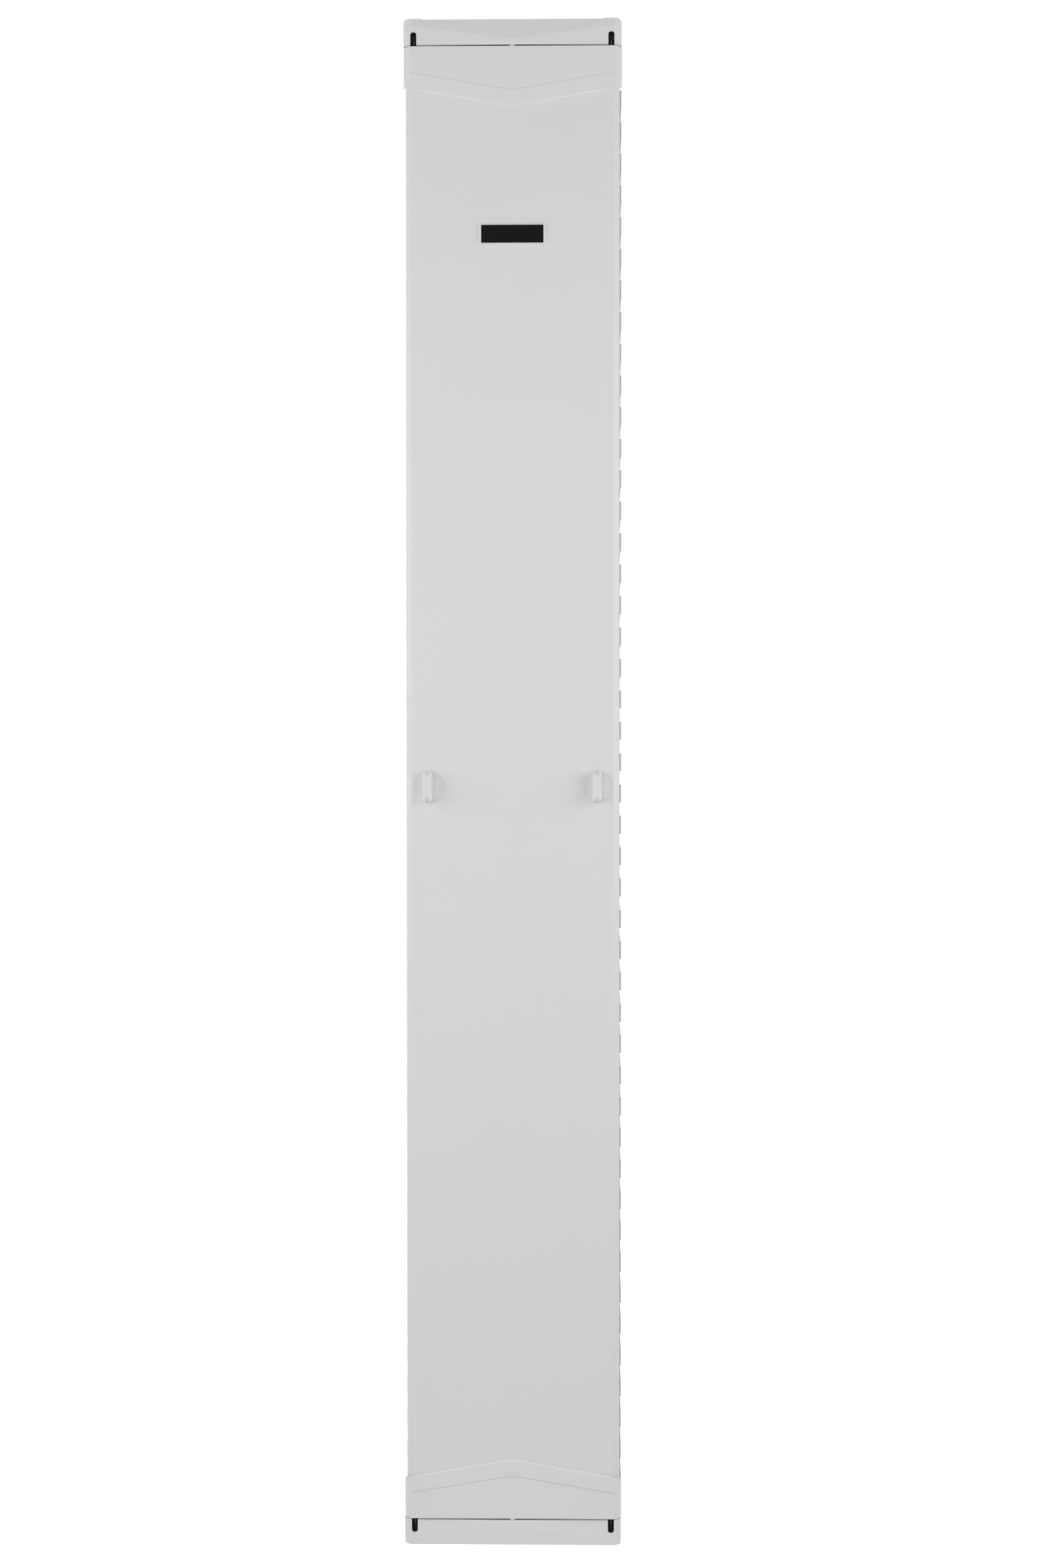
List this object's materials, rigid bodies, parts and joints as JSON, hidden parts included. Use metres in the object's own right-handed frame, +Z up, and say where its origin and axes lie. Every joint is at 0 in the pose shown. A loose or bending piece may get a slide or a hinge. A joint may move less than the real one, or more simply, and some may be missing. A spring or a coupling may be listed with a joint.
{
  "type": "vertical cable manager",
  "caption": "Tall floor-standing vertical cable manager with side cable fingers, slack spools, open rear bays and a full-height door that opens from either side by a knob.",
  "frame": {"origin": "bottom centre of the overall box, on the floor", "axes": "+X to the right seen from the front, -Y is the front with the door, +Z up"},
  "size_m": [0.3048, 0.255, 2.131],
  "materials": {
    "grey_paint": "fine-textured light grey powder coat",
    "grey_moulding": "light grey moulded plastic, satin",
    "knob_moulding": "light grey moulded plastic, smooth satin",
    "black_moulding": "dark grey moulded plastic",
    "black_rod": "black-coated steel rod",
    "zinc_steel": "zinc-plated steel",
    "badge_black": "black blank nameplate, satin"
  },
  "bodies": {
    "frame": {"base_tray": "grey_paint", "bottom_front_cap": "grey_moulding", "cross_plate_1": "grey_paint", "cross_plate_2": "grey_paint", "cross_plate_3": "grey_paint", "cross_plate_4": "grey_paint", "cross_plate_5": "grey_paint", "cross_plate_6": "grey_paint", "left_fingers_lower": "grey_moulding", "left_fingers_middle": "grey_moulding", "left_fingers_upper": "grey_moulding", "left_lower_hinge_socket": "black_moulding", "left_upper_hinge_socket": "black_moulding", "left_upright": "grey_paint", "plate_screws": "zinc_steel", "right_fingers_lower": "grey_moulding", "right_fingers_middle": "grey_moulding", "right_fingers_upper": "grey_moulding", "right_lower_hinge_socket": "black_moulding", "right_upper_hinge_socket": "black_moulding", "right_upright": "grey_paint", "slack_spool_1": "grey_moulding", "slack_spool_2": "grey_moulding", "slack_spool_3": "grey_moulding", "slack_spool_4": "grey_moulding", "socket_screws": "zinc_steel", "spool_screws": "zinc_steel", "top_front_cap": "grey_moulding", "top_tray": "grey_paint", "upright_bolts": "zinc_steel"},
    "right_pivot": {"right_upper_bush": "black_moulding", "right_lower_bush": "black_moulding"},
    "door": {"door_panel": "grey_paint", "door_stiffener": "grey_paint", "door_top_cap": "grey_moulding", "door_bottom_cap": "grey_moulding", "left_upper_bush": "black_moulding", "left_lower_bush": "black_moulding", "badge_rim": "grey_moulding", "badge_plate": "badge_black", "left_rod_guides": "black_moulding", "right_rod_guides": "black_moulding", "left_latch_cover": "zinc_steel", "right_latch_cover": "zinc_steel", "latch_screws": "zinc_steel"},
    "left_latch": {"left_knob": "knob_moulding", "left_latch_pinion": "zinc_steel"},
    "left_upper_latch_rod": {"left_upper_rod": "black_rod", "left_upper_rack": "zinc_steel"},
    "left_lower_latch_rod": {"left_lower_rod": "black_rod", "left_lower_rack": "zinc_steel"},
    "right_latch": {"right_knob": "knob_moulding", "right_latch_pinion": "zinc_steel"},
    "right_upper_latch_rod": {"right_upper_rod": "black_rod", "right_upper_rack": "zinc_steel"},
    "right_lower_latch_rod": {"right_lower_rod": "black_rod", "right_lower_rack": "zinc_steel"}
  },
  "joints": [
    {"name": "door_left_hinge", "type": "hinge", "parent": "frame", "child": "right_pivot", "pos_m": [-0.1376, -0.0995, 1.0649], "axis": [0, 0, -1], "range_deg": [0, 135]},
    {"name": "door_right_hinge", "type": "hinge", "parent": "right_pivot", "child": "door", "pos_m": [0.1376, -0.0995, 1.0649], "axis": [0, 0, 1], "range_deg": [0, 135]},
    {"name": "left_knob_turn", "type": "hinge", "parent": "door", "child": "left_latch", "pos_m": [-0.1178, -0.0995, 1.0649], "axis": [0, -1, 0], "range_deg": [0, 90]},
    {"name": "left_upper_rod_slide", "type": "slide", "parent": "door", "child": "left_upper_latch_rod", "axis": [0, 0, -1], "range_m": [0, 0.01414]},
    {"name": "left_lower_rod_slide", "type": "slide", "parent": "door", "child": "left_lower_latch_rod", "axis": [0, 0, 1], "range_m": [0, 0.01414]},
    {"name": "right_knob_turn", "type": "hinge", "parent": "door", "child": "right_latch", "pos_m": [0.1178, -0.0995, 1.0649], "axis": [0, 1, 0], "range_deg": [0, 90]},
    {"name": "right_upper_rod_slide", "type": "slide", "parent": "door", "child": "right_upper_latch_rod", "axis": [0, 0, -1], "range_m": [0, 0.01414]},
    {"name": "right_lower_rod_slide", "type": "slide", "parent": "door", "child": "right_lower_latch_rod", "axis": [0, 0, 1], "range_m": [0, 0.01414]}
  ],
  "couplings": [
    {"joint": "left_knob_turn", "follows": "left_upper_rod_slide", "rad_per_m": 111.11},
    {"joint": "left_lower_rod_slide", "follows": "left_upper_rod_slide", "ratio": 1},
    {"joint": "right_knob_turn", "follows": "right_upper_rod_slide", "rad_per_m": 111.11},
    {"joint": "right_lower_rod_slide", "follows": "right_upper_rod_slide", "ratio": 1}
  ]
}
